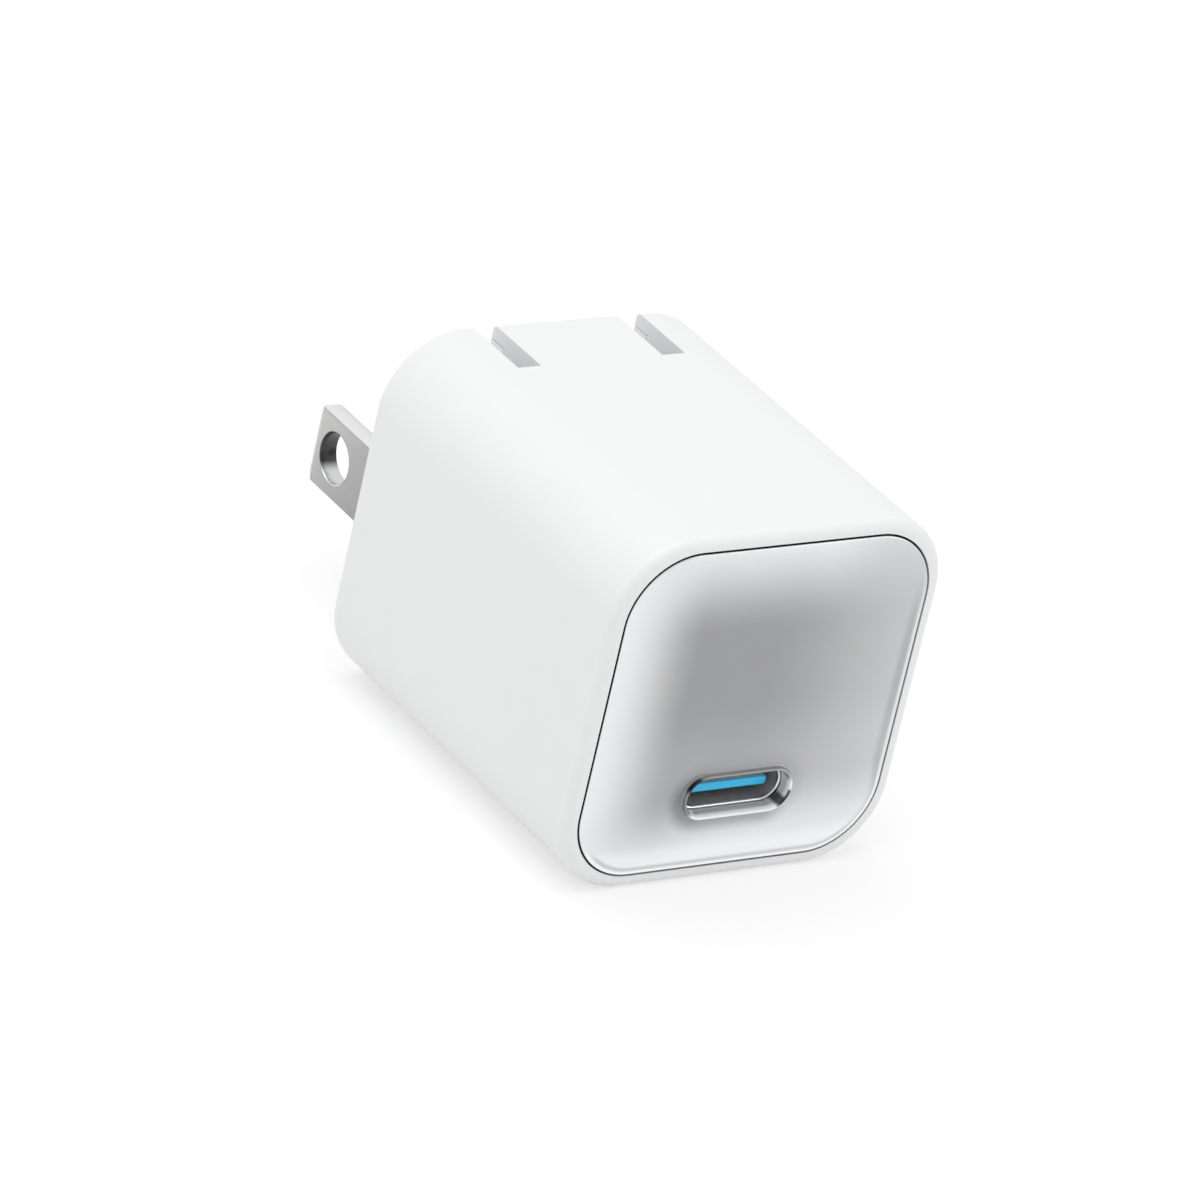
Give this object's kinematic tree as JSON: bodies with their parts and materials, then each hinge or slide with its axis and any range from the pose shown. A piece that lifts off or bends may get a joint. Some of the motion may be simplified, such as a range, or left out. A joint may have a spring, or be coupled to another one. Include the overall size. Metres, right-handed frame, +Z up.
{
  "type": "usb-c wall power adapter",
  "caption": "Compact rounded-cube USB-C wall power adapter with a silver front panel and a folding two-blade mains plug.",
  "frame": {"origin": "centre of the body's flat bottom face", "axes": "+Z up, -Y out of the front panel and its USB-C socket, +Y out of the rear face along the open blades, +X to the right as seen from the front"},
  "size_m": [0.0286, 0.0503, 0.0285],
  "materials": {
    "housing_plastic": "satin white",
    "panel_coat": "satin silver coat",
    "adhesive": "matte foam tape",
    "blade_nickel": "polished nickel plate",
    "rotor_plastic": "matte white",
    "block_plastic": "matte ivory",
    "contact_brass": "bright",
    "spring_steel": "satin",
    "frame_plastic": "matte grey",
    "socket_steel": "bright",
    "tongue_blue": "satin blue",
    "board_laminate": "satin green",
    "ferrite": "matte sintered",
    "bobbin_plastic": "matte",
    "winding_tape": "gloss tape",
    "solder_pin": "tinned",
    "can_sleeve": "gloss sleeve",
    "bung_rubber": "matte",
    "can_aluminium": "satin",
    "film_case": "satin",
    "disc_coat": "gloss",
    "choke_coat": "gloss",
    "choke_copper": "enamelled copper",
    "choke_stand": "matte",
    "fuse_case": "gloss",
    "chip_epoxy": "matte",
    "opto_case": "matte",
    "chip_ceramic": "matte",
    "pad_silicone": "matte",
    "spreader_copper": "satin copper"
  },
  "bodies": {
    "adapter_body": {"housing_shell": "housing_plastic", "rear_cover": "housing_plastic", "front_panel": "panel_coat", "panel_adhesive": "adhesive", "contact_block": "block_plastic", "contact_spring_left": "contact_brass", "contact_spring_right": "contact_brass", "usb_contacts": "contact_brass", "detent_spring": "spring_steel", "usb_mid_plate": "spring_steel", "inner_frame": "frame_plastic", "usb_shell": "socket_steel", "usb_tongue": "tongue_blue", "main_board": "board_laminate", "control_board": "board_laminate", "transformer_core_lower": "ferrite", "transformer_core_upper": "ferrite", "transformer_bobbin": "bobbin_plastic", "transformer_winding": "winding_tape", "transformer_pins": "solder_pin", "component_pins": "solder_pin", "capacitor_leads": "solder_pin", "bulk_capacitor_left": "can_sleeve", "bulk_capacitor_right": "can_sleeve", "input_capacitor": "can_sleeve", "capacitor_bungs": "bung_rubber", "output_capacitor": "can_aluminium", "film_capacitor": "film_case", "disc_capacitor": "disc_coat", "choke_core": "choke_coat", "choke_windings": "choke_copper", "choke_base": "choke_stand", "fuse": "fuse_case", "power_chip": "chip_epoxy", "bridge_rectifier": "chip_epoxy", "rectifier_chip": "chip_epoxy", "pd_controller": "chip_epoxy", "chip_resistors": "chip_epoxy", "optocoupler": "opto_case", "chip_capacitors": "chip_ceramic", "thermal_pad": "pad_silicone", "heat_spreader": "spreader_copper"},
    "prongs": {"blade_left": "blade_nickel", "blade_right": "blade_nickel", "prong_rotor": "rotor_plastic"}
  },
  "joints": [
    {"name": "prong_fold", "type": "hinge", "parent": "adapter_body", "child": "prongs", "pos_m": [0, 0.01413, 0.00928], "axis": [1, 0, 0], "range_deg": [0, 90]}
  ]
}
